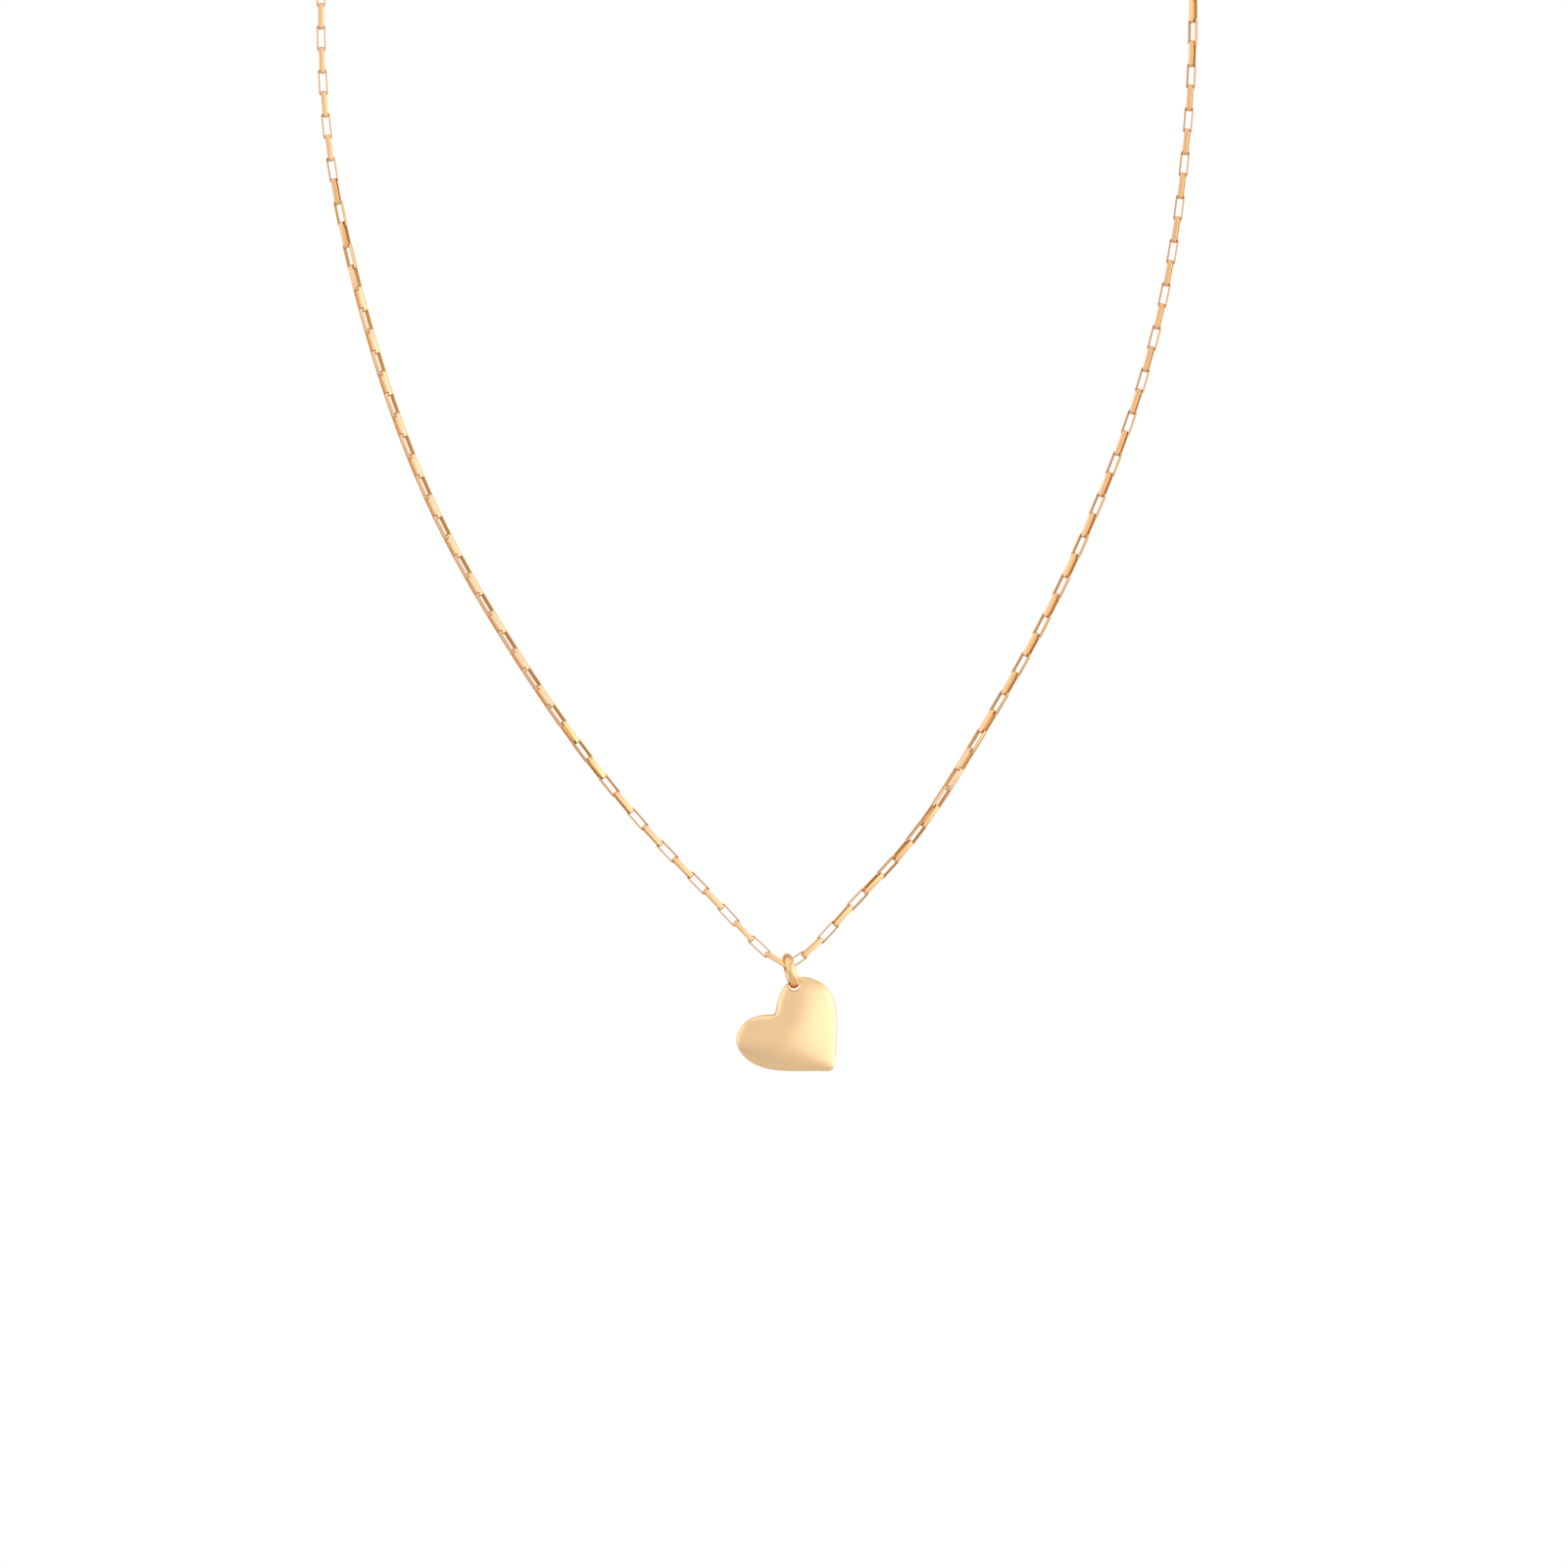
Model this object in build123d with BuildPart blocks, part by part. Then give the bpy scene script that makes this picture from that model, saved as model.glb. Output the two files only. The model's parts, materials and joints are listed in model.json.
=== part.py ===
"""A heart pendant necklace: an elongated box chain, a jump ring, a puffed heart and a lobster clasp.

Millimetres. The origin is the middle of the nape of the neck that the chain goes round. +Z is up,
-Y is the way the wearer faces, and +X is on the right of somebody who looks at the pendant.
The pendant hangs in a plane parallel to XZ, in front of the neck.
"""

import os
from math import cos, radians, sin, sqrt

from build123d import *

os.makedirs("parts", exist_ok=True)

# ---- Chain link: a flat strip bent into a rounded rectangle and soldered shut ----
strip_thickness = 0.18
strip_width = 0.62
window_width = 0.74  # inside the loop, across the chain
link_pitch = 2.70  # from one joint to the next
link_play = 0.23  # between the end walls of two linked loops
window_corner = 0.17  # inside radius
window_length = link_pitch + link_play
link_length = window_length + 2 * strip_thickness
link_width = window_width + 2 * strip_thickness

# ---- Chain: both strands hold the same number of links, kept in short groups that bend as one ----
groups_per_strand = 20
links_per_group = 4
links_per_strand = groups_per_strand * links_per_group

# ---- The route of the chain, as it lies on the neck ----
neck_depth = 42.0  # from the nape to the plane that the pendant hangs in
clasp_shift = 0.90  # the clasp has slid this far to the left of the nape
shoulder_width = 53.4  # each strand's distance from the middle where it starts to hang
shoulder_drop = 35.2  # how far below the nape that is
nape_reach = 28.0  # how far the curve leaves the clasp sideways
shoulder_reach = 36.0  # how far it comes down straight into the front
# X and Z of each strand where it hangs in front, from the shoulder towards the pendant
left_route = [
    (-52.5, -51.2),
    (-49.5, -66.9),
    (-45.1, -82.3),
    (-39.2, -97.1),
    (-31.4, -111.1),
    (-22.5, -124.4),
    (-12.4, -136.8),
    (-3.9, -145.6),
]
right_route = [
    (52.6, -51.2),
    (50.5, -67.0),
    (46.6, -82.6),
    (41.0, -97.5),
    (34.2, -111.9),
    (26.2, -125.8),
    (17.1, -139.0),
    (11.1, -145.4),
]
pendant_joint_x = 3.55  # where the centre link meets the right strand, over the pendant
pendant_joint_z = -152.47
centre_link_slope = 31.0  # degrees, the centre link comes down to the right
left_end_slope = 42.0  # degrees, how steeply the left strand reaches the centre link
right_end_slope = 31.0  # degrees, how steeply the right strand reaches that joint
# How each strand is rolled about its own length: (links counted from the pendant, degrees)
left_roll = [(0, 0), (4, 8), (8, 12), (15, 45), (35, 45), (42, 90), (50, 90), (77, 144.5)]
right_roll = [(0, 0), (16, -64), (22, -62), (34, -78), (44, -78), (50, -45), (77, -38.5)]

# ---- Bail ring, which joins the heart to the chain ----
bail_wire_width = 1.14  # along the ring's own axis
bail_wire_depth = 0.84  # across the wire, towards the ring's middle
bail_bore_radius = 1.40
bail_lean = 15.0  # degrees, its top leans to the left
bail_turn = 6.0  # degrees, it is turned a little about the vertical
bail_ride = 0.33  # how far its flanks ride up the sloping links
bail_slide = 0.41  # and how far it has slid along its own axis, away from the steeper one
running_gap = 0.03  # between pieces that bear on each other

# ---- Heart: two domed half shells soldered at the seam, and a tube round the hole ----
heart_half_thickness = 1.30
dome_radius = 28.5
dome_x = 0.70  # the top of each dome, from the middle of the heart
dome_z = -0.60
heart_wall = 0.25
heart_edge_round = 0.28
heart_tip_round = 0.90
heart_cleft_round = 0.45
heart_hole_radius = 0.69
inner_points = 90  # on the spline that bounds the hollow
seam_band = 0.10  # edges closer to the seam than this aren't rounded
eyelet_wall = 0.10
heart_hole_x = 0.60  # the hole, from the middle of the heart
heart_hole_z = 5.18
hole_ride = 0.09  # the turned ring bears on the tube's ends, off its middle line

# ---- Lobster clasp and the two end rings ----
end_ring_wire = 0.50  # diameter
end_ring_radius = 1.45  # to the middle of the wire
catch_ring_wire = 0.60
catch_ring_radius = 1.70
clasp_thickness = 1.80
eye_radius = 1.10
eye_hole_radius = 0.60
eye_to_hook = 6.00
hook_radius = 2.60
hook_opening = 1.50
clasp_edge_round = 0.22
pivot_x = -3.10  # from the middle of the hook
pivot_z = -0.80
rivet_radius = 0.30
rivet_head_radius = 0.52
rivet_head_height = 0.10
rivet_running_gap = 0.03
lever_thickness = 0.76
lever_slot_gap = 0.04  # each side of the lever's tongue
lever_boss_radius = 0.66
gate_thickness = 1.50
gate_from = 223.0  # degrees round the hook, where the gate leaves the tongue
gap_before_gate = 18.0  # degrees
gap_to = 325.0
gate_inset = 0.05  # the gate is this much slimmer than the hook, inside and out
gate_tip_gap = 0.06
gate_tip_angle = 295.0
lip_from = 281.0
lip_to = 310.0
lip_clearance = 7.0  # degrees, how far ahead of the lip the gate's outside is cut back
lip_thickness = 0.30
tab_root = (-2.30, -1.30)
tab_end = (-2.05, -2.45)
tab_radius = 0.34
slot_left = -3.90
slot_right = -1.00
slot_top = 0.14  # the slot's ceiling, above the hook's middle line
spring_x = -2.35
spring_radius = 0.30  # to the middle of its wire
spring_wire = 0.16  # diameter
spring_coils = 4
spring_top = 1.00
spring_bottom = -0.23  # just clear of the lever's tongue
spring_hole_gap = 0.04


def save(part, name):
    """Label a finished piece and write it as its own file."""
    part.label = name
    export_step(part, f"parts/{name}.step")


def roll_at(stops, position):
    """The roll at a place along a strand, in even steps between the stops on either side of it."""
    for (first, low), (last, high) in zip(stops, stops[1:]):
        if first <= position <= last:
            share = (position - first) / (last - first)
            return low + (high - low) * share
    return stops[-1][1]


def curve_in(bore_radius, reach):
    """How far a bore has curved away from its lowest point, this far to the side."""
    return bore_radius - sqrt(bore_radius**2 - reach**2)


# ---- Where the clasp and its rings lie, from the left strand's end to the right strand's ----
# A ring's bore bears on the two edges of what it holds, so it is set back by its own curve.
# On the clasp it bears half way round the rounded edge of the eye or the hook.
edge_relief = clasp_edge_round * (1 - sqrt(0.5))
clasp_reach = clasp_thickness / 2 - edge_relief
end_bore = end_ring_radius - end_ring_wire / 2
catch_bore = catch_ring_radius - catch_ring_wire / 2
left_seat = running_gap + curve_in(end_bore, strip_width / 2)
eye_seat = running_gap + curve_in(end_bore, clasp_reach) - edge_relief
hook_seat = running_gap + curve_in(catch_bore, clasp_reach) - edge_relief
right_seat = running_gap + curve_in(catch_bore, strip_width / 2)
left_wire = link_play / 2 - left_seat - end_ring_wire / 2
eye_wire = left_wire + 2 * end_ring_radius
eye_centre = eye_wire - end_ring_wire / 2 - eye_seat + eye_hole_radius
hook_centre = eye_centre + eye_to_hook
hook_wire = hook_centre + hook_opening - hook_seat - catch_ring_wire / 2
right_wire = hook_wire + 2 * catch_ring_radius
hardware_length = right_wire - catch_ring_wire / 2 - right_seat + link_play / 2
left_start = -hardware_length / 2 - clasp_shift
right_start = hardware_length / 2 - clasp_shift


def strand(start_x, side, route, end, end_slope):
    """One strand's centre line, from its end ring round the neck and down to its end over the pendant."""
    shoulder = (side * shoulder_width, -neck_depth, -shoulder_drop)
    front = [(x, -neck_depth, z) for x, z in route]
    end_way = (-side * cos(radians(end_slope)), 0, -sin(radians(end_slope)))
    with BuildLine() as line:
        Bezier(
            (start_x, 0, 0),
            (start_x + side * nape_reach, 0, 0),
            (side * shoulder_width, -neck_depth, shoulder_reach - shoulder_drop),
            shoulder,
        )
        Spline(shoulder, *front, end, tangents=[(0, 0, -1), end_way])
    return line.wires()[0]


def joints_of(line):
    """The places where the links of one strand meet, evenly spaced, from its end ring to the pendant."""
    step = line.length / links_per_strand
    return [line.position_at(step * n, PositionMode.LENGTH) for n in range(links_per_strand + 1)]


def link_places(joints, side, roll_stops):
    """Where each link's loop lies, clasp first: X runs along the chain and Z is across the loop.

    The first link at the pendant is set from the front, and each next one carries its face on along
    the curve, a quarter turn from its neighbour, with the strand's own roll added.
    """
    places = []
    face = Vector(0, -1, 0)
    for from_pendant, (there, here) in enumerate(zip(joints[::-1], joints[-2::-1])):
        along = (there - here).normalized()
        face = (face - along * face.dot(along)).normalized()
        turn = 90 * (from_pendant % 2) + side * roll_at(roll_stops, from_pendant)
        z_dir = face.rotate(Axis((0, 0, 0), along), turn)
        places.append(Plane((here + there) / 2, x_dir=along, z_dir=z_dir).location)
    return places[::-1]


# ---- Where the chain is bent over the pendant ----
# The pendant hangs where the centre link meets the right strand's last link. That joint is bent so
# far that the centre link's end wall stands askew in its neighbour's window and sits deeper than in
# a straight run. The window's rounded corners keep a linked strip's edges this far from its end.
pendant_joint = Vector(pendant_joint_x, -neck_depth, pendant_joint_z)
right_line = strand(right_start, 1, right_route, pendant_joint, right_end_slope)
right_joints = joints_of(right_line)
last_link_way = (right_joints[-2] - right_joints[-1]).normalized()
centre_way = Vector(1, 0, 0).rotate(Axis.Y, centre_link_slope)
centre_bend = radians(centre_way.get_angle(last_link_way))
corner_rise = curve_in(window_corner, window_corner - (window_width - strip_width) / 2)
askew_reach = strip_width / 2 * sin(centre_bend) + (strip_thickness / 2 + corner_rise) * cos(centre_bend)
seat_depth = askew_reach + running_gap - link_play / 2
end_wall_reach = (window_length + strip_thickness) / 2
centre_middle = pendant_joint + last_link_way * seat_depth - centre_way * end_wall_reach
left_end = centre_middle - centre_way * (link_pitch / 2)
left_line = strand(left_start, -1, left_route, left_end, left_end_slope)

# ---- One link, lying flat with its length along X ----
with BuildPart() as link:
    with BuildSketch():
        RectangleRounded(link_length, link_width, window_corner + strip_thickness)
        RectangleRounded(window_length, window_width, window_corner, mode=Mode.SUBTRACT)
    extrude(amount=strip_width / 2, both=True)

# ---- The two strands, in groups of links numbered from the clasp down to the pendant ----
for strand_name, side, line, stops in (
    ("left", -1, left_line, left_roll),
    ("right", 1, right_line, right_roll),
):
    places = link_places(joints_of(line), side, stops)
    for group in range(groups_per_strand):
        first = group * links_per_group
        with BuildPart() as chain:
            with Locations(*places[first : first + links_per_group]):
                add(link.part)
        save(chain.part, f"{strand_name}_chain_{group + 1:02d}")

# ---- Centre link: its strip stands on edge, and its lower end carries the bail ring ----
centre_plane = Plane(centre_middle, x_dir=centre_way, z_dir=centre_way.cross(Vector(0, 1, 0)))
with BuildPart() as centre_link:
    with Locations(centre_plane.location):
        add(link.part)
save(centre_link.part, "centre_link")

# ---- Bail ring: hangs over the bent joint by the inside of its top, its flanks on the two links ----
bail_axis = Vector(1, 0, 0).rotate(Axis.Y, -bail_lean).rotate(Axis.Z, bail_turn)
bail_up = (Vector(0, 0, 1) - bail_axis * bail_axis.Z).normalized()
bail_drop = bail_bore_radius - link_width / 2 - bail_ride
bail_centre = pendant_joint - bail_up * bail_drop + bail_axis * bail_slide
bail_mean_radius = bail_bore_radius + bail_wire_depth / 2
with BuildPart() as bail_ring:
    with BuildSketch(Plane(bail_centre, x_dir=bail_up, z_dir=bail_axis.cross(bail_up))):
        with Locations((bail_mean_radius, 0)):
            Ellipse(bail_wire_depth / 2, bail_wire_width / 2)
    revolve(axis=Axis(bail_centre, bail_axis))
save(bail_ring.part, "bail_ring")

# ---- Heart: its hole hangs on the bottom of the bail ring ----
dome_reach = sqrt((heart_hole_x - dome_x) ** 2 + (heart_hole_z - dome_z) ** 2)
half_depth_at_hole = heart_half_thickness - curve_in(dome_radius, dome_reach)
bore_rise = curve_in(bail_bore_radius, half_depth_at_hole)
hole_drop = bail_bore_radius + heart_hole_radius - running_gap - bore_rise - hole_ride
heart_hole = bail_centre - bail_up * hole_drop
heart_middle = Vector(heart_hole.X - heart_hole_x, heart_hole.Y, heart_hole.Z - heart_hole_z)
heart_plane = Plane(heart_middle, x_dir=(1, 0, 0), z_dir=(0, -1, 0))
tip = (5.50, -5.42)
cleft = (-1.75, 1.55)
right_lobe = [(5.80, -1.90), (5.86, 1.00), (4.95, 4.45), (2.75, 5.95), (0.75, 6.00), (-0.85, 4.55)]
left_lobe = [(-3.35, 1.45), (-5.60, 0.42), (-6.48, -1.65), (-5.20, -3.93), (-2.50, -5.15), (1.90, -5.40)]

with BuildSketch() as outline:
    with BuildLine():
        Spline(tip, *right_lobe, cleft)
        Spline(cleft, *left_lobe, tip)
    make_face()
    fillet(outline.vertices().sort_by(Axis.X)[-1], heart_tip_round)
    fillet(outline.vertices().sort_by(Axis.X)[0], heart_cleft_round)

inner_edge = offset(outline.sketch, amount=-heart_wall, mode=Mode.PRIVATE).wire()
with BuildSketch() as inner_outline:
    with BuildLine():
        Spline(*[inner_edge @ (n / inner_points) for n in range(inner_points)], periodic=True)
    make_face()


def dome_middle(front):
    """The centre of the sphere that the front (1) or the back (-1) of the heart is part of."""
    return heart_plane.from_local_coords((dome_x, dome_z, front * (heart_half_thickness - dome_radius)))


def half_heart(front, sketch, radius):
    """One solid half of the heart or of its hollow: an outline, domed on the side away from the seam."""
    with BuildPart() as half:
        with BuildSketch(heart_plane):
            add(sketch)
        extrude(amount=front * 2 * heart_half_thickness)
        with Locations(dome_middle(front)):
            Sphere(radius, mode=Mode.INTERSECT)
    return half.part


for name, front in (("heart_front_shell", 1), ("heart_back_shell", -1)):
    with BuildPart() as shell:
        add(half_heart(front, outline.sketch, dome_radius))
        curved = shell.edges().filter_by(GeomType.LINE, reverse=True)
        upper = [edge for edge in curved if abs(edge.center().Y - heart_middle.Y) > seam_band]
        fillet(upper, heart_edge_round)
        add(half_heart(front, inner_outline.sketch, dome_radius - heart_wall), mode=Mode.SUBTRACT)
        with BuildSketch(heart_plane):
            with Locations((heart_hole_x, heart_hole_z)):
                Circle(heart_hole_radius + eyelet_wall)
        extrude(amount=front * 2 * heart_half_thickness, mode=Mode.SUBTRACT)
    save(shell.part, name)

with BuildPart() as heart_eyelet:
    with BuildSketch(heart_plane):
        with Locations((heart_hole_x, heart_hole_z)):
            Circle(heart_hole_radius + eyelet_wall)
            Circle(heart_hole_radius, mode=Mode.SUBTRACT)
    extrude(amount=2 * heart_half_thickness, both=True)
    for front in (1, -1):
        with Locations(dome_middle(front)):
            Sphere(dome_radius, mode=Mode.INTERSECT)
save(heart_eyelet.part, "heart_eyelet")

# ---- The ring on each end of the chain: both lie flat, so that their wire runs through hook and eye ----
for name, centre_x, radius, wire in (
    ("left_end_ring", left_start + left_wire + end_ring_radius, end_ring_radius, end_ring_wire),
    ("right_catch_ring", left_start + hook_wire + catch_ring_radius, catch_ring_radius, catch_ring_wire),
):
    with BuildPart() as ring:
        with BuildSketch(Plane.XZ):
            with Locations((centre_x + radius, 0)):
                Circle(wire / 2)
        revolve(axis=Axis((centre_x, 0, 0), (0, 0, 1)))
    save(ring.part, name)

# ---- Clasp body: a flat drop with an eye in its tail and a hook that the gate closes from below ----
# On this plane X runs from the eye to the hook and Y is up; its Z looks towards the wearer's front.
clasp_plane = Plane((left_start + hook_centre, 0, 0), x_dir=(1, 0, 0), z_dir=(0, -1, 0))
pivot = Vector(pivot_x, pivot_z)
gate_radius = (hook_opening + hook_radius) / 2
gate_start = Vector(gate_radius, 0).rotate(Axis.Z, gate_from)
gate_tip = Vector(gate_radius, 0).rotate(Axis.Z, gate_tip_angle)
gate_reach = (gate_tip - pivot).length


def arc_band(inner, outer, first, last):
    """A band round the middle of the hook, between two radii and two angles in degrees."""
    spokes = [Vector(3 * outer, 0).rotate(Axis.Z, angle) for angle in (first, (first + last) / 2, last)]
    with BuildSketch() as band:
        Circle(outer)
        Circle(inner, mode=Mode.SUBTRACT)
        Polygon((0, 0), *spokes, align=None, mode=Mode.INTERSECT)
    return band.sketch


lip_radius = hook_radius - lip_thickness
gap_band = arc_band(hook_opening / 2, 2 * hook_radius, gate_from - gap_before_gate, gap_to)
gate_band = arc_band(hook_opening + gate_inset, hook_radius - gate_inset, gate_from, gap_to)
lip_band = arc_band(lip_radius, 2 * hook_radius, lip_from, lip_to)
lip_room = arc_band(lip_radius - gate_tip_gap, 2 * hook_radius, lip_from - lip_clearance, lip_to)

with BuildPart() as clasp_body:
    with BuildSketch(clasp_plane):
        Circle(hook_radius)
        with Locations((-eye_to_hook, 0)):
            Circle(eye_radius)
        make_hull()
    extrude(amount=clasp_thickness / 2, both=True)
    with BuildSketch(clasp_plane):
        Circle(hook_opening)
        with Locations((-eye_to_hook, 0)):
            Circle(eye_hole_radius)
    extrude(amount=clasp_thickness, both=True, mode=Mode.SUBTRACT)
    fillet(clasp_body.faces().filter_by(Axis.Y).edges(), clasp_edge_round)
    with BuildSketch(clasp_plane):
        with Locations(pivot):
            Circle(rivet_radius)
    extrude(amount=clasp_thickness, both=True, mode=Mode.SUBTRACT)
    with BuildSketch(clasp_plane):
        add(gap_band)
        with Locations(pivot):
            Circle(gate_reach + gate_tip_gap, mode=Mode.INTERSECT)
        add(lip_band, mode=Mode.SUBTRACT)
    extrude(amount=clasp_thickness, both=True, mode=Mode.SUBTRACT)
    with BuildSketch(clasp_plane):
        with Locations((slot_left, slot_top)):
            Rectangle(slot_right - slot_left, 2 * hook_radius, align=(Align.MIN, Align.MAX))
    extrude(amount=lever_thickness / 2 + lever_slot_gap, both=True, mode=Mode.SUBTRACT)
    spring_plane = Plane(clasp_plane.from_local_coords((spring_x, spring_top, 0)), z_dir=(0, 0, -1))
    with BuildSketch(spring_plane):
        Circle(spring_radius + spring_wire / 2 + spring_hole_gap)
    extrude(amount=spring_top - slot_top, mode=Mode.SUBTRACT)
save(clasp_body.part, "clasp_body")

# ---- Clasp lever: a thin tongue on the rivet, the gate that closes the hook, and a tab for the thumb ----
with BuildPart() as clasp_lever:
    with BuildSketch(clasp_plane):
        with Locations(pivot):
            Circle(lever_boss_radius)
        with Locations(gate_start):
            Circle((hook_radius - hook_opening) / 2 - gate_inset)
        make_hull()
    with BuildSketch(clasp_plane):
        with Locations(tab_root, tab_end):
            Circle(tab_radius)
        make_hull()
    extrude(amount=lever_thickness / 2, both=True)
    with BuildSketch(clasp_plane):
        add(gate_band)
        with Locations(pivot):
            Circle(gate_reach, mode=Mode.INTERSECT)
        add(lip_room, mode=Mode.SUBTRACT)
    extrude(amount=gate_thickness / 2, both=True)
    with BuildSketch(clasp_plane):
        with Locations(pivot):
            Circle(rivet_radius + rivet_running_gap)
    extrude(amount=clasp_thickness, both=True, mode=Mode.SUBTRACT)
save(clasp_lever.part, "clasp_lever")

# ---- Clasp rivet, headed over on both faces, and the coil spring that shuts the gate ----
with BuildPart() as clasp_rivet:
    with BuildSketch(clasp_plane):
        with Locations(pivot):
            Circle(rivet_radius)
    extrude(amount=clasp_thickness / 2, both=True)
    for face in (1, -1):
        with BuildSketch(clasp_plane.offset(face * clasp_thickness / 2)):
            with Locations(pivot):
                Circle(rivet_head_radius)
        extrude(amount=face * rivet_head_height)
save(clasp_rivet.part, "clasp_rivet")

spring_end = spring_top - spring_wire / 2
spring_height = spring_end - spring_wire / 2 - spring_bottom
spring_foot = clasp_plane.from_local_coords((spring_x, spring_end - spring_height, 0))
with BuildPart() as clasp_spring:
    with BuildLine() as coil:
        Helix(spring_height / spring_coils, spring_height, spring_radius, center=spring_foot)
    with BuildSketch(Plane(coil.line @ 0, z_dir=coil.line % 0)):
        Circle(spring_wire / 2)
    sweep()
save(clasp_spring.part, "clasp_spring")
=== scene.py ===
"""Looks for a worn heart necklace: polished gold links, a bail ring, a puffed heart and a lobster clasp."""

import json
import math

import bmesh
import bpy
import numpy as np
from mathutils import Matrix, Vector


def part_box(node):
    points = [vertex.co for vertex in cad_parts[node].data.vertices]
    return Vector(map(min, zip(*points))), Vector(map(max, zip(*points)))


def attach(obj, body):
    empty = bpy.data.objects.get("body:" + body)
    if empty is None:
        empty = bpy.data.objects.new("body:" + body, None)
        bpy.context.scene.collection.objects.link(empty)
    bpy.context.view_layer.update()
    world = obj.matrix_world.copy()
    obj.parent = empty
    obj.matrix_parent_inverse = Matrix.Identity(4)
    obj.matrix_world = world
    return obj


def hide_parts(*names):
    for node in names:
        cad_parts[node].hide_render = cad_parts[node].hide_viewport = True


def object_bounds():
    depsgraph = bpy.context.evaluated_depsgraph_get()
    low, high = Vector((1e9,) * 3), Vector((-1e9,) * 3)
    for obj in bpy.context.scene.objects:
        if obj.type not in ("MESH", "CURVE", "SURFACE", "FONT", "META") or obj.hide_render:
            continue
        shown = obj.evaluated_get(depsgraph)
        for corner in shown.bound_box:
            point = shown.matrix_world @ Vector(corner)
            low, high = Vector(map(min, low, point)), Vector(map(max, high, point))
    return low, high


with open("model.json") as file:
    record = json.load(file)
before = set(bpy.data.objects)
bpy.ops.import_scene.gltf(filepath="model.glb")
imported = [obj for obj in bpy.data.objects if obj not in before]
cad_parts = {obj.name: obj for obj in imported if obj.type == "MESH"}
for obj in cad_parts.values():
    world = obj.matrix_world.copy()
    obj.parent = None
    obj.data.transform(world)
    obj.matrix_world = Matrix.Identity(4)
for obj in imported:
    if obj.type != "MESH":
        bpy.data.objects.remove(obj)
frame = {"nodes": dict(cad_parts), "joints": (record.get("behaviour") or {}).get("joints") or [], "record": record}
cad_low, cad_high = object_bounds()

# ---- Chain links: flat gold strip bent round a mandrel into a long loop and soldered shut.
# Tumbling polishes the outside and leaves the inside and the sheared edges duller. Their darker colour is painted
# shade for the inside of each loop and the joints between links. Each link stands a quarter turn from the next.
# Four make one piece, except that the centre link is one by itself, and the solids say where each link lies.
mm = 0.001
strip_thickness = 0.18 * mm
strip_width = 0.62 * mm
strip_crown = 0.018 * mm  # how far each flat of the rolled strip falls from its middle to its edges
link_length = 3.29 * mm
link_width = 1.10 * mm
link_bend = 0.26 * mm  # radius of each corner, at the middle of the strip's thickness
strip_edge = 0.055 * mm  # radius of the strip's tumbled edges
bend_steps = 6
edge_steps = 3
crown_points = 3  # across each flat of the strip, between its edges
weld_distance = 0.0005 * mm  # corner points of a solid that are nearer than this are one point


def polished_metal(name, colour, roughness, scratch, tone_size):
    """Even colour with faint clouding, and hair-fine buffing marks."""
    clouded = [part * 0.95 for part in colour]
    mark_size = 0.15 * mm
    mark_depth = 0.002 * mm
    marks_lie = (0.3, 0.6, 0.9)
    marks_drawn_out = (0.12, 1.0, 1.0)
    material = bpy.data.materials.new(name)
    material.use_nodes = True
    nodes, links = material.node_tree.nodes, material.node_tree.links
    shader = nodes["Principled BSDF"]
    shader.inputs["Metallic"].default_value = 1.0
    place = nodes.new("ShaderNodeTexCoord")
    cloud = nodes.new("ShaderNodeTexNoise")
    cloud.inputs["Scale"].default_value = 1 / tone_size
    cloud.inputs["Detail"].default_value = 3.0
    links.new(place.outputs["Object"], cloud.inputs["Vector"])
    tone = nodes.new("ShaderNodeValToRGB")
    for element, position, shade in zip(tone.color_ramp.elements, (0.30, 0.70), (clouded, colour)):
        element.position = position
        element.color = (*shade, 1)
    links.new(cloud.outputs["Fac"], tone.inputs["Fac"])
    links.new(tone.outputs["Color"], shader.inputs["Base Color"])
    buffing = nodes.new("ShaderNodeTexNoise")
    buffing.inputs["Scale"].default_value = 1 / mark_size
    buffing.inputs["Detail"].default_value = 4.0
    stretch = nodes.new("ShaderNodeMapping")
    stretch.inputs["Scale"].default_value = marks_drawn_out
    stretch.inputs["Rotation"].default_value = marks_lie
    links.new(place.outputs["Object"], stretch.inputs["Vector"])
    links.new(stretch.outputs["Vector"], buffing.inputs["Vector"])
    gloss = nodes.new("ShaderNodeMapRange")
    gloss.inputs["To Min"].default_value = roughness * 0.8
    gloss.inputs["To Max"].default_value = roughness * 1.25
    links.new(buffing.outputs["Fac"], gloss.inputs["Value"])
    links.new(gloss.outputs["Result"], shader.inputs["Roughness"])
    relief = nodes.new("ShaderNodeBump")
    relief.inputs["Strength"].default_value = scratch
    relief.inputs["Distance"].default_value = mark_depth
    links.new(buffing.outputs["Fac"], relief.inputs["Height"])
    links.new(relief.outputs["Normal"], shader.inputs["Normal"])
    return material


def piece(name, verts, faces, material, slot, body, *stands_for):
    """One smooth-shaded piece on its body, in place of the solids that it stands for."""
    mesh = bpy.data.meshes.new(name)
    mesh.from_pydata([tuple(v) for v in verts], [], [tuple(f) for f in faces])
    mesh.polygons.foreach_set("use_smooth", [True] * len(mesh.polygons))
    mesh.materials.append(material)
    mesh.update()
    made = bpy.data.objects.new(name, mesh)
    bpy.context.scene.collection.objects.link(made)
    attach(made, body)
    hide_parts(*stands_for)
    return made


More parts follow.
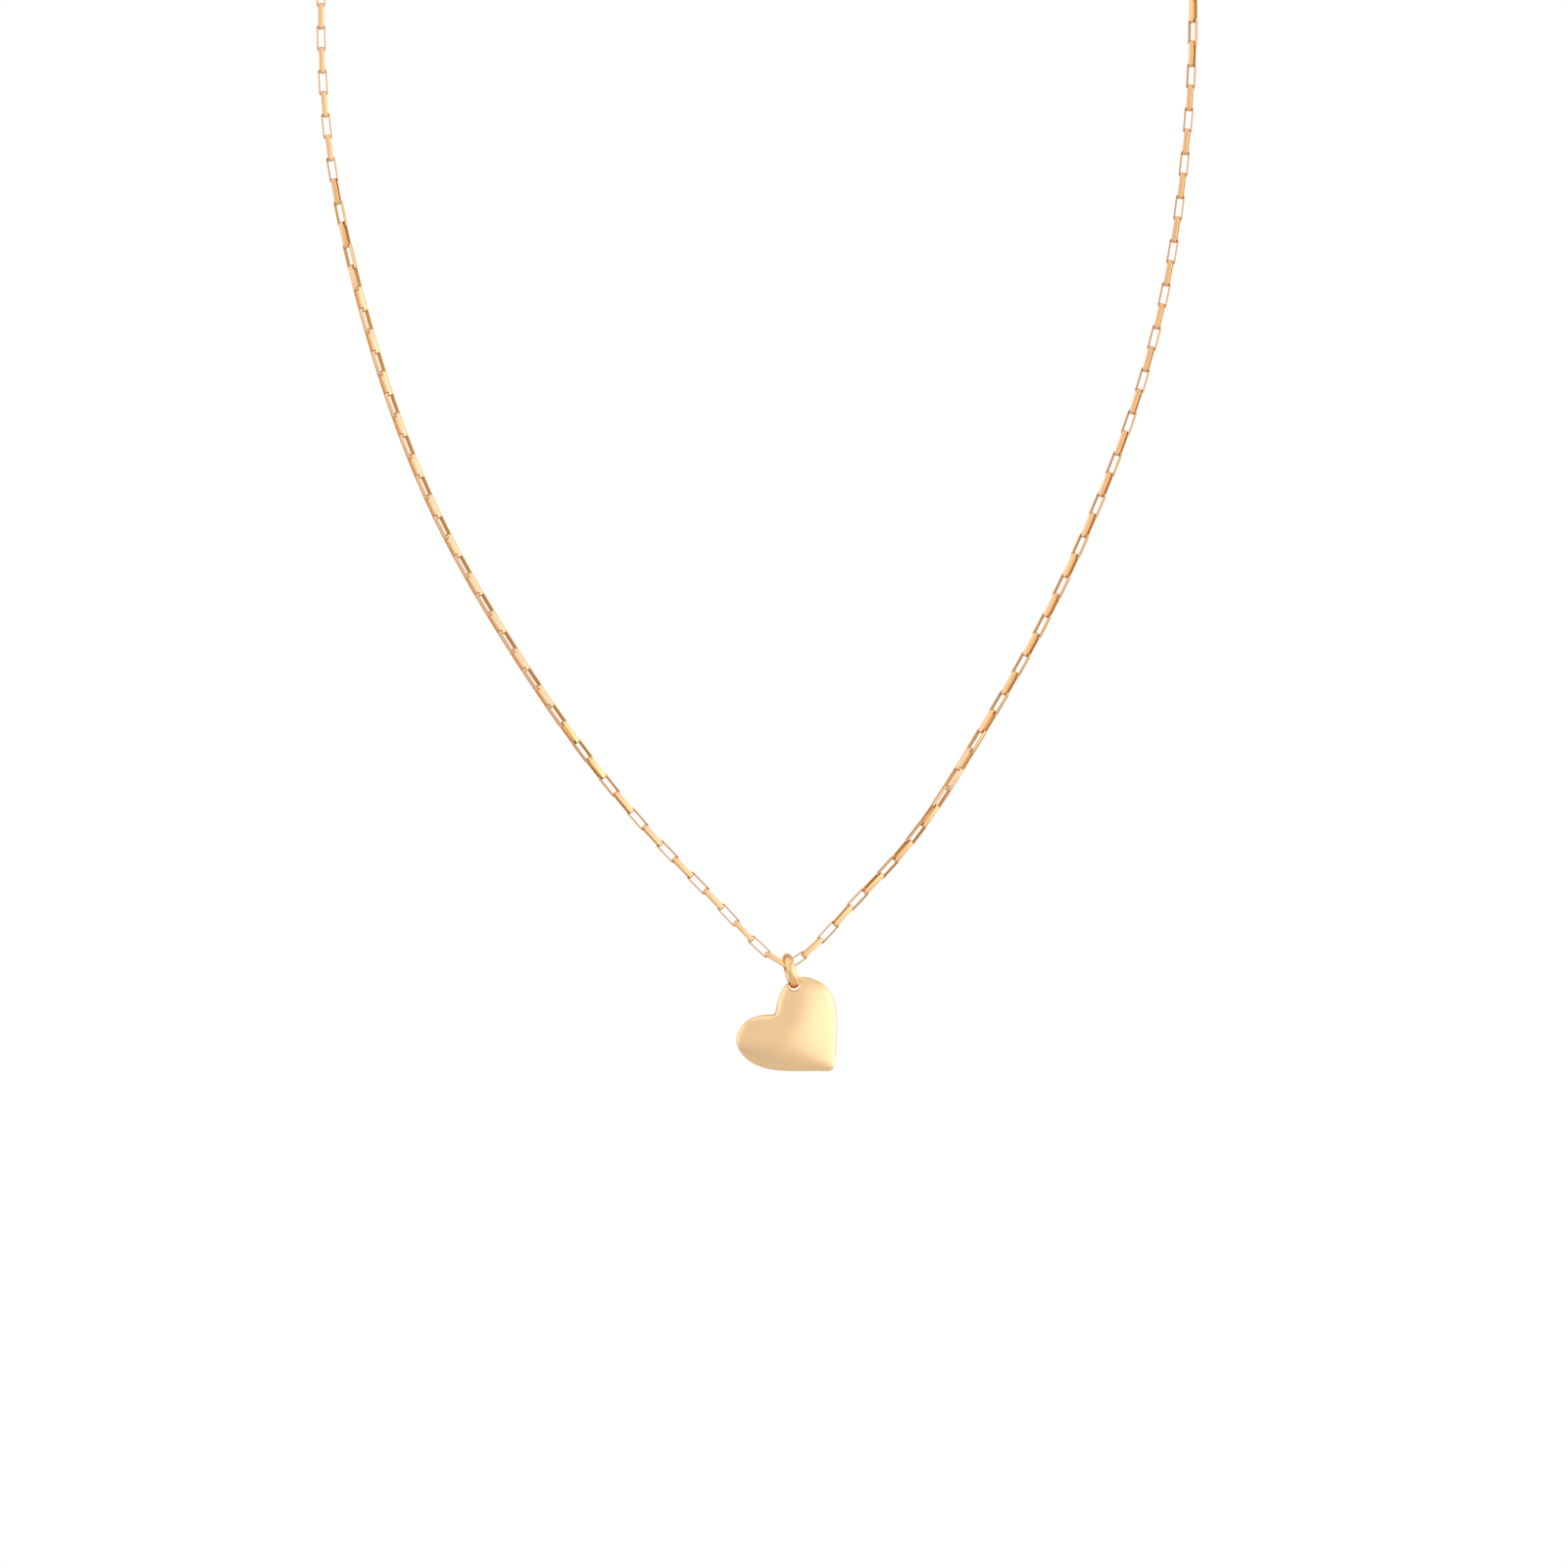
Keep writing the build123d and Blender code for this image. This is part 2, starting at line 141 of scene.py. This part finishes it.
def rounded(half_x, half_y, radius, steps):
    """Points and outward normals round a rectangle with arcs for its corners."""
    points, normals = [], []
    for corner, (sx, sy) in enumerate(((1, 1), (-1, 1), (-1, -1), (1, -1))):
        for step in range(steps + 1):
            angle = math.pi / 2 * (corner + step / steps)
            way = np.array((math.cos(angle), math.sin(angle)))
            points.append(np.array((sx * (half_x - radius), sy * (half_y - radius))) + radius * way)
            normals.append(way)
    return np.array(points), np.array(normals)


def grid_faces(rows, columns):
    """Quads between the rows of a grid that closes on itself both ways."""
    return [
        (
            row * columns + column,
            (row + 1) % rows * columns + column,
            (row + 1) % rows * columns + (column + 1) % columns,
            row * columns + (column + 1) % columns,
        )
        for row in range(rows)
        for column in range(columns)
    ]


def flat_strip_loop():
    """One link lying flat about the origin, long way along X, its strip's width along Z."""
    half_length, half_width = (link_length - strip_thickness) / 2, (link_width - strip_thickness) / 2
    path, ways = rounded(half_length, half_width, link_bend, bend_steps)
    half_strip = strip_thickness / 2 - strip_crown
    edges = [tuple(point) for point in rounded(half_strip, strip_width / 2, strip_edge, edge_steps)[0]]
    flat = strip_width / 2 - strip_edge
    shares = np.linspace(-1, 1, crown_points + 2)[1:-1]
    outer = [(half_strip + strip_crown * (1 - share**2), flat * share) for share in shares]
    inner = [(-out, -up) for out, up in outer]
    section = edges[: len(edges) // 2] + inner + edges[len(edges) // 2 :] + outer
    verts = [(*(point + way * out), up) for point, way in zip(path, ways) for out, up in section]
    return np.array(verts), grid_faces(len(path), len(section))


def solids_of(node):
    """The corner points of each separate solid in a node, as one array for each."""
    shape = bmesh.new()
    shape.from_mesh(frame["nodes"][node].data)
    bmesh.ops.remove_doubles(shape, verts=shape.verts, dist=weld_distance)
    shape.verts.index_update()
    shape.verts.ensure_lookup_table()
    left = set(range(len(shape.verts)))
    solids = []
    while left:
        first = min(left)
        found, waiting = {first}, [first]
        while waiting:
            vert = shape.verts[waiting.pop()]
            near = {edge.other_vert(vert).index for edge in vert.link_edges} - found
            found |= near
            waiting += near
        left -= found
        solids.append(np.array([tuple(shape.verts[index].co) for index in sorted(found)]))
    shape.free()
    return solids


def lie_like(solid):
    """The middle of a solid and its long, middle and short directions, as the columns of a turn."""
    middle = solid.mean(axis=0)
    _, directions = np.linalg.eigh(np.cov((solid - middle).T))
    turn = directions[:, ::-1]
    if np.linalg.det(turn) < 0:
        turn[:, 2] *= -1
    return middle, turn


chain_gold = polished_metal("chain_gold", (0.94, 0.575, 0.29), 0.18, 0.25, 3 * mm)
# Rougher for the duller tumbled inside, and darker as painted shade inside the loops and at the joints between
# links.
inner_gold_painted_shade = polished_metal("chain_gold_inner_painted_shade", (0.70, 0.36, 0.125), 0.34, 0.5, 2 * mm)
loop_verts, loop_faces = flat_strip_loop()
section_points = 4 * (edge_steps + 1) + 2 * crown_points
# The outer flat of the strip is polished, and so is the nearer part of the edge on each side of it. Every other
# face, inside the loop, takes the darker gold: painted shade.
polished = (0, *range(section_points - crown_points - edge_steps, section_points))
for body, held in frame["record"]["behaviour"]["bodies"].items():
    for node in held:
        if "_chain_" not in node and node != "centre_link":
            continue
        verts, faces = [], []
        for solid in solids_of(node):
            middle, turn = lie_like(solid)
            faces += [tuple(index + len(verts) for index in face) for face in loop_faces]
            verts += list(loop_verts @ turn.T + middle)
        name = node.replace("chain", "links").replace("centre_link", "centre_strip_link")
        chain_run = piece(name, verts, faces, chain_gold, "chain_gold", body, node)
        chain_run.data.materials.append(inner_gold_painted_shade)
        for number, face in enumerate(chain_run.data.polygons):
            face.material_index = 0 if number % section_points in polished else 1
        chain_run.modifiers.new("flat strip faces", "WEIGHTED_NORMAL").weight = 100

# ---- Bail ring and the two end rings: gold wire coiled on a rod, sawn into rings and soldered.
# The bail ring's wire is rolled oval and stands wide on the heart; the end rings are of round wire.
joints = {joint["name"]: joint for joint in frame["joints"]}
bail_bore = 1.40 * mm
bail_wire = (0.42 * mm, 0.57 * mm)  # half its depth towards the ring's middle, half its width
end_rings = {  # the radius of the ring at the middle of its wire, and of the wire
    "left_end_ring": (1.45 * mm, 0.25 * mm),
    "right_catch_ring": (1.70 * mm, 0.30 * mm),
}
ring_steps = 144
wire_steps = 40


def wire_ring(middle, axis, radius, depth, width):
    """A closed ring of oval wire about an axis."""
    axis = Vector(axis).normalized()
    across = axis.orthogonal().normalized()
    up = axis.cross(across)
    verts = []
    for step in range(ring_steps):
        turn = 2 * math.pi * step / ring_steps
        out = across * math.cos(turn) + up * math.sin(turn)
        for wire in range(wire_steps):
            angle = 2 * math.pi * wire / wire_steps
            verts.append(middle + out * (radius + depth * math.cos(angle)) + axis * (width * math.sin(angle)))
    return verts, grid_faces(ring_steps, wire_steps)


bail_gold = polished_metal("bail_gold", (0.97, 0.61, 0.30), 0.14, 0.2, 4 * mm)
swing = joints["bail_swing"]
verts, faces = wire_ring(Vector(swing["pos_m"]), swing["axis"], bail_bore + bail_wire[0], *bail_wire)
piece("bail_ring_polished", verts, faces, bail_gold, "chain_gold", "bail_ring", "bail_ring")
for ring, (radius, wire) in end_rings.items():
    low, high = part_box(ring)
    verts, faces = wire_ring((low + high) / 2, (0, 0, 1), radius, wire, wire)
    piece(ring + "_polished", verts, faces, bail_gold, "chain_gold", ring, ring)

# ---- Heart: two thin gold sheets pressed into domes and soldered along the seam, then mirror polished.
# The outline is cut by hand, so its lobes aren't alike. Each sheet swells like a skin held at the seam,
# highest where it is furthest from the edge, and its rim is rolled over steeply. Sizes are in mm.
tip = (5.50, -5.42)
cleft = (-1.75, 1.55)
right_lobe = [(5.80, -1.90), (5.86, 1.00), (4.95, 4.45), (2.75, 5.95), (0.75, 6.00), (-0.85, 4.55)]
left_lobe = [(-3.35, 1.45), (-5.60, 0.42), (-6.48, -1.65), (-5.20, -3.93), (-2.50, -5.15), (1.90, -5.40)]
heart_hole_at = (0.60, 5.18)
swell_middle = (0.50, -0.80)  # every point of the outline is in plain sight from here
heart_half = 1.30
seam_wall = 0.10  # the upright edge of each half at the seam
seam_round = 0.04
hole_radius = 0.69
tube_wall = 0.10
tip_round = 0.90
cleft_round = 0.45
dome_share = 0.72  # the rest of the height comes up in the rolled rim
rim_share = 0.35  # how high the swelling is where the rolled rim ends
round_steps = 256
swell_steps = 52
swell_crowding = 1.7  # the rings of the mesh stand closer together towards the seam
curve_steps = 900
fillet_steps = 40
settling_steps = 900
settled = 1e-16


def through(points, samples):
    """A smooth curve through points: a natural cubic spline over their chord lengths."""
    points = np.array(points)
    reach = np.concatenate(([0], np.cumsum(np.linalg.norm(np.diff(points, axis=0), axis=1))))
    gaps = np.diff(reach)
    count = len(points)
    system = np.eye(count)
    wanted = np.zeros((count, 2))
    for k in range(1, count - 1):
        system[k, k - 1 : k + 2] = gaps[k - 1], 2 * (gaps[k - 1] + gaps[k]), gaps[k]
        wanted[k] = 6 * ((points[k + 1] - points[k]) / gaps[k] - (points[k] - points[k - 1]) / gaps[k - 1])
    bend = np.linalg.solve(system, wanted)
    at = np.linspace(0, reach[-1], samples)
    k = np.clip(np.searchsorted(reach, at, side="right") - 1, 0, count - 2)
    gap, before, after = gaps[k, None], (reach[k + 1] - at)[:, None], (at - reach[k])[:, None]
    return (
        (bend[k] * before**3 + bend[k + 1] * after**3) / (6 * gap)
        + (points[k] / gap - bend[k] * gap / 6) * before
        + (points[k + 1] / gap - bend[k + 1] * gap / 6) * after
    )


def filleted(first, second, radius, side):
    """Two curves that meet at a corner, joined by an arc inside (1) or outside (-1) the outline."""
    middles = []
    for curve in (first, second):
        along = np.gradient(curve, axis=0)
        along /= np.linalg.norm(along, axis=1)[:, None]
        middles.append(curve + side * radius * np.stack((-along[:, 1], along[:, 0]), axis=1))
    apart = np.linalg.norm(middles[0][:, None] - middles[1][None], axis=2)
    leave, join = np.unravel_index(apart.argmin(), apart.shape)
    middle = (middles[0][leave] + middles[1][join]) / 2
    start, end = (math.atan2(*(point - middle)[::-1]) for point in (first[leave], second[join]))
    sweep = (end - start + math.pi) % (2 * math.pi) - math.pi
    angles = np.linspace(start, start + sweep, fillet_steps)[1:-1]
    arc = middle + radius * np.stack((np.cos(angles), np.sin(angles)), axis=1)
    return first[: leave + 1], arc, second[join:]


def heart_radius():
    """How far the outline is from the middle of the swelling, at even angles round it."""
    right = through([tip, *right_lobe, cleft], curve_steps)
    left = through([cleft, *left_lobe, tip], curve_steps)
    right, notch, left = filleted(right, left, cleft_round, -1)
    left, nose, right = filleted(left, right, tip_round, 1)
    line = np.vstack((right, notch, left, nose))
    away = line - swell_middle
    angle = np.arctan2(away[:, 1], away[:, 0]) % (2 * math.pi)
    order = np.argsort(angle)
    wanted = np.arange(round_steps) * 2 * math.pi / round_steps
    return np.interp(wanted, angle[order], np.linalg.norm(away, axis=1)[order], period=2 * math.pi)


def swell(plan, triangles, edge_from):
    """How high a skin held at the edge swells over each point of a flat plan, as a share of its highest."""
    a, b, c = (plan[triangles[:, n]] for n in range(3))
    area = np.abs((b - a)[:, 0] * (c - a)[:, 1] - (b - a)[:, 1] * (c - a)[:, 0]) / 2
    load = np.zeros(len(plan))
    pairs, weights = [], []
    for n, (near, far, third) in enumerate(((a, b, c), (b, c, a), (c, a, b))):
        np.add.at(load, triangles[:, n], area / 3)
        weights.append(((near - third) * (far - third)).sum(axis=1) / (4 * area))
        pairs.append(triangles[:, (n, (n + 1) % 3)])
    one, two = np.vstack(pairs).T
    weight = np.concatenate(weights)

    def pull(height):
        flow = weight * (height[one] - height[two])
        return np.bincount(one, flow, len(plan)) - np.bincount(two, flow, len(plan))

    height, free = np.zeros(len(plan)), np.arange(len(plan)) < edge_from
    rest = load * free
    step, size = rest.copy(), rest @ rest
    for _ in range(settling_steps):
        pulled = pull(step) * free
        share = size / (step @ pulled)
        height += share * step
        rest -= share * pulled
        size, before = rest @ rest, size
        if size < settled:
            break
        step = rest + size / before * step
    return height / height.max()


def mesh_of(shape):
    """The corner points and faces of a finished shape."""
    shape.verts.index_update()
    verts = [vert.co.copy() for vert in shape.verts]
    faces = [[vert.index for vert in face.verts] for face in shape.faces]
    shape.free()
    return verts, faces


def heart_half_mesh(front):
    """One pressed half: the swollen face, its upright edge at the seam, and the hole for the tube."""
    reach = heart_radius()
    angles = np.arange(round_steps) * 2 * math.pi / round_steps
    rings = 1 - (1 - np.arange(1, swell_steps + 1) / swell_steps) ** swell_crowding
    way = np.stack((np.cos(angles), np.sin(angles)), axis=1)
    plan = np.vstack([[swell_middle]] + [swell_middle + way * (reach * ring)[:, None] for ring in rings])
    around = np.arange(round_steps)
    onward = (around + 1) % round_steps
    fan = np.stack((np.zeros(round_steps, int), 1 + around, 1 + onward), axis=1)
    quads = []
    for ring in range(swell_steps - 1):
        inner, outer = 1 + ring * round_steps, 1 + (ring + 1) * round_steps
        quads.append(np.stack((inner + around, outer + around, outer + onward, inner + onward), axis=1))
    quads = np.vstack(quads)
    triangles = np.vstack((fan, quads[:, (0, 1, 2)], quads[:, (0, 2, 3)]))
    edge_from = 1 + (swell_steps - 1) * round_steps
    skin = swell(plan, triangles, edge_from)
    rim = 1 - np.minimum(1, skin / rim_share)
    lift = dome_share * skin + (1 - dome_share) * np.sqrt(1 - rim**2)
    height = seam_wall + (heart_half - seam_wall) * lift
    shape = bmesh.new()
    verts = [shape.verts.new((x, z, h)) for (x, z), h in zip(plan, height)]
    for face in [*fan, *quads]:
        shape.faces.new([verts[index] for index in face])
    upper = verts[edge_from:]
    for level, inset in ((seam_round, 0), (0, seam_round)):
        tuck = way * (reach - inset)[:, None] + swell_middle
        lower = [shape.verts.new((x, z, level)) for x, z in tuck]
        for k, n in zip(around, onward):
            shape.faces.new((upper[k], lower[k], lower[n], upper[n]))
        upper = lower
    bored_at = Vector(heart_hole_at)
    bore = hole_radius + tube_wall
    bored = [face for face in shape.faces if (face.calc_center_median().xy - bored_at).length < bore]
    bmesh.ops.delete(shape, geom=bored, context="FACES")
    open_edges = [edge for edge in shape.edges if edge.is_boundary]
    lip = {vert for edge in open_edges for vert in edge.verts if (vert.co.xy - bored_at).length < 2 * bore}
    for vert in lip:
        vert.co.xy = bored_at + (vert.co.xy - bored_at).normalized() * bore
    lip_edges = [edge for edge in open_edges if edge.verts[0] in lip and edge.verts[1] in lip]
    sunk = bmesh.ops.extrude_edge_only(shape, edges=lip_edges)
    for vert in (found for found in sunk["geom"] if isinstance(found, bmesh.types.BMVert)):
        vert.co.z = 0
    bmesh.ops.recalc_face_normals(shape, faces=shape.faces)
    turn = Matrix(((1, 0, 0, 0), (0, 0, -front, 0), (0, 1, 0, 0), (0, 0, 0, 1)))
    shape.transform(Matrix.Translation(heart_middle) @ turn @ Matrix.Scale(mm, 4))
    if front < 0:
        bmesh.ops.reverse_faces(shape, faces=shape.faces)
    return mesh_of(shape)


hole = Vector(joints["heart_swing"]["pos_m"])
heart_middle = hole - Vector((heart_hole_at[0], 0, heart_hole_at[1])) * mm
heart_gold = polished_metal("heart_gold", (0.97, 0.66, 0.365), 0.17, 0.12, 9 * mm)
for half, front in (("heart_front", 1), ("heart_back", -1)):
    verts, faces = heart_half_mesh(front)
    piece(half, verts, faces, heart_gold, "pendant_gold", "heart", half + "_shell")

# ---- Heart tube: a cut length of thin gold tube, soldered into the hole through both sheets.
# Its ends are filed down to the domes and rounded.
tube_end_round = 0.05 * mm
tube_end_steps = 4
tube_steps = 96
tube_low, tube_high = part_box("heart_eyelet")
section, _ = rounded(tube_wall / 2 * mm, (tube_high.y - tube_low.y) / 2, tube_end_round, tube_end_steps)
verts = []
for step in range(tube_steps):
    turn = 2 * math.pi * step / tube_steps
    out = Vector((math.cos(turn), 0, math.sin(turn)))
    for wall, along in section:
        verts.append(hole + out * ((hole_radius + tube_wall / 2) * mm + wall) + Vector((0, along, 0)))
faces = grid_faces(tube_steps, len(section))
piece("heart_tube", verts, faces, heart_gold, "pendant_gold", "heart", "heart_eyelet")

# ---- Lobster clasp: a cast and tumbled body with a sprung lever on a headed rivet.
# The body, the lever and the rivet are the solids' own shapes with their edges worn round; the
# spring is bright steel wire.
worn_edge = 0.07 * mm
worn_angle = math.radians(40)  # only edges sharper than this wear round
clasp_gold = polished_metal("clasp_gold", (0.96, 0.62, 0.32), 0.2, 0.3, 5 * mm)
spring_steel = polished_metal("spring_steel", (0.56, 0.56, 0.57), 0.25, 0.3, 1 * mm)
clasp_pieces = (
    ("clasp_body", "clasp", clasp_gold, "clasp_gold"),
    ("clasp_lever", "clasp_lever", clasp_gold, "clasp_gold"),
    ("clasp_rivet", "clasp", clasp_gold, "clasp_gold"),
    ("clasp_spring", "clasp", spring_steel, "spring_steel"),
)
for node, body, material, slot in clasp_pieces:
    shape = bmesh.new()
    shape.from_mesh(frame["nodes"][node].data)
    bmesh.ops.remove_doubles(shape, verts=shape.verts, dist=weld_distance)
    part = piece(node + "_tumbled", *mesh_of(shape), material, slot, body, node)
    if node != "clasp_spring":
        worn = part.modifiers.new("worn edges", "BEVEL")
        worn.width = worn_edge
        worn.segments = 3
        worn.limit_method = "ANGLE"
        worn.angle_limit = worn_angle
        part.modifiers.new("flat faces", "WEIGHTED_NORMAL").weight = 100

# ---- Stage: a pale floor well below the heart, a white room, and soft lamps round the necklace.
# The room is lighter on some sides than on others, which is what the polished metal reflects.
view_middle = Vector((3.3, -42.0, -130.0)) * mm
frame_width = 192.0 * mm
camera_distance = 0.90
floor_drop = 0.11
floor_radius = 0.33
floor_solid_radius = 0.1155  # from here outwards the floor fades into the white room
floor_sides = 96

bpy.ops.mesh.primitive_circle_add(vertices=floor_sides, radius=floor_radius, fill_type="NGON")
floor = bpy.context.object
floor.name = "floor"
floor.location = (view_middle.x, view_middle.y, cad_low.z - floor_drop)
paper = bpy.data.materials.new("white_paper")
paper.use_nodes = True
nodes, links = paper.node_tree.nodes, paper.node_tree.links
surface = nodes["Principled BSDF"]
surface.inputs["Base Color"].default_value = (0.80, 0.80, 0.79, 1)
surface.inputs["Roughness"].default_value = 0.9
place = nodes.new("ShaderNodeTexCoord")
spread = nodes.new("ShaderNodeVectorMath")
spread.operation = "LENGTH"
links.new(place.outputs["Object"], spread.inputs[0])
fade = nodes.new("ShaderNodeMapRange")
fade.inputs["From Min"].default_value = floor_solid_radius
fade.inputs["From Max"].default_value = floor_radius
links.new(spread.outputs["Value"], fade.inputs["Value"])
clear = nodes.new("ShaderNodeBsdfTransparent")
blend = nodes.new("ShaderNodeMixShader")
links.new(fade.outputs["Result"], blend.inputs["Fac"])
links.new(surface.outputs["BSDF"], blend.inputs[1])
links.new(clear.outputs["BSDF"], blend.inputs[2])
links.new(blend.outputs["Shader"], nodes["Material Output"].inputs["Surface"])
floor.data.materials.append(paper)

world = bpy.data.worlds.new("white_room")
bpy.context.scene.world = world
world.use_nodes = True
nodes, links = world.node_tree.nodes, world.node_tree.links
place = nodes.new("ShaderNodeTexCoord")


def toward(azimuth, elevation):
    """A direction from the necklace in degrees: azimuth 0 is the front, 90 the viewer's right."""
    a, e = math.radians(azimuth), math.radians(elevation)
    return Vector((math.sin(a) * math.cos(e), -math.cos(a) * math.cos(e), math.sin(e)))


def wall_level(way, stops):
    """How light the room is along one direction: (share of the way, level) pairs, from -1 to 1."""
    facing = nodes.new("ShaderNodeVectorMath")
    facing.operation = "DOT_PRODUCT"
    facing.inputs[1].default_value = way
    links.new(place.outputs["Generated"], facing.inputs[0])
    unit = nodes.new("ShaderNodeMapRange")
    unit.inputs["From Min"].default_value = -1
    links.new(facing.outputs["Value"], unit.inputs["Value"])
    ramp = nodes.new("ShaderNodeValToRGB")
    ramp.color_ramp.interpolation = "EASE"
    while len(ramp.color_ramp.elements) < len(stops):
        ramp.color_ramp.elements.new(0.5)
    for stop, (share, light) in zip(ramp.color_ramp.elements, stops):
        stop.position = (share + 1) / 2
        stop.color = (light, light, light, 1)
    links.new(unit.outputs["Result"], ramp.inputs["Fac"])
    return ramp.outputs["Color"]


def joined(how, first, second):
    """Two light levels added, or the second taken from the first."""
    mix = nodes.new("ShaderNodeMix")
    mix.data_type = "RGBA"
    mix.blend_type = how
    mix.inputs["Factor"].default_value = 1
    links.new(first, mix.inputs["A"])
    links.new(second, mix.inputs["B"])
    return mix.outputs["Result"]


rear_wall = [(0.12, 0.8), (0.3, 0.5), (0.6, 0.55), (0.85, 1), (1, 1)]
depth = wall_level((0, 1, 0), [(-1, 0.88), (-0.5, 0.88), (0, 0.98), *rear_wall])
window = wall_level(toward(46, -8), [(-1, 0), (0.50, 0), (0.93, 0.58), (1, 0.60)])
floor_shade = wall_level(toward(-15, -70), [(-1, 0), (0.25, 0), (0.9, 0.28), (1, 0.28)])
left_wall = wall_level(toward(-74, 16), [(-1, 0), (0.80, 0), (0.96, 0.35), (1, 0.35)])
right_wall = wall_level(toward(90, 10), [(-1, 0), (0.60, 0), (0.85, 0.42), (1, 0.45)])
room = joined("ADD", joined("ADD", depth, window), joined("ADD", left_wall, right_wall))
room = joined("SUBTRACT", room, floor_shade)
links.new(room, nodes["Background"].inputs["Color"])


def softbox(name, azimuth, elevation, distance, width, height, glow):
    """A rectangular lamp facing the view's middle; glow is how bright it looks beside the white room."""
    lamp = bpy.data.lights.new(name, "AREA")
    lamp.shape = "RECTANGLE"
    lamp.size, lamp.size_y = width, height
    lamp.energy = glow * math.pi * width * height
    made = bpy.data.objects.new(name, lamp)
    bpy.context.scene.collection.objects.link(made)
    away = toward(azimuth, elevation)
    made.visible_camera = False
    made.location = view_middle + away * distance
    made.rotation_mode = "QUATERNION"
    made.rotation_quaternion = away.to_track_quat("Z", "Y")
    return made


softbox("right softbox", azimuth=48, elevation=12, distance=0.8, width=0.35, height=0.5, glow=0.25)
softbox("top softbox", azimuth=-35, elevation=60, distance=0.8, width=0.5, height=0.4, glow=0.25)

camera = bpy.data.cameras.new("camera")
camera.sensor_width = 36
camera.lens = camera.sensor_width * camera_distance / frame_width
camera.clip_start = 0.05
camera.clip_end = 10
viewer = bpy.data.objects.new("camera", camera)
viewer.location = view_middle - Vector((0, camera_distance, 0))
viewer.rotation_euler = (math.radians(90), 0, 0)
bpy.context.scene.collection.objects.link(viewer)
bpy.context.scene.camera = viewer
bpy.context.scene.view_settings.view_transform = "Standard"
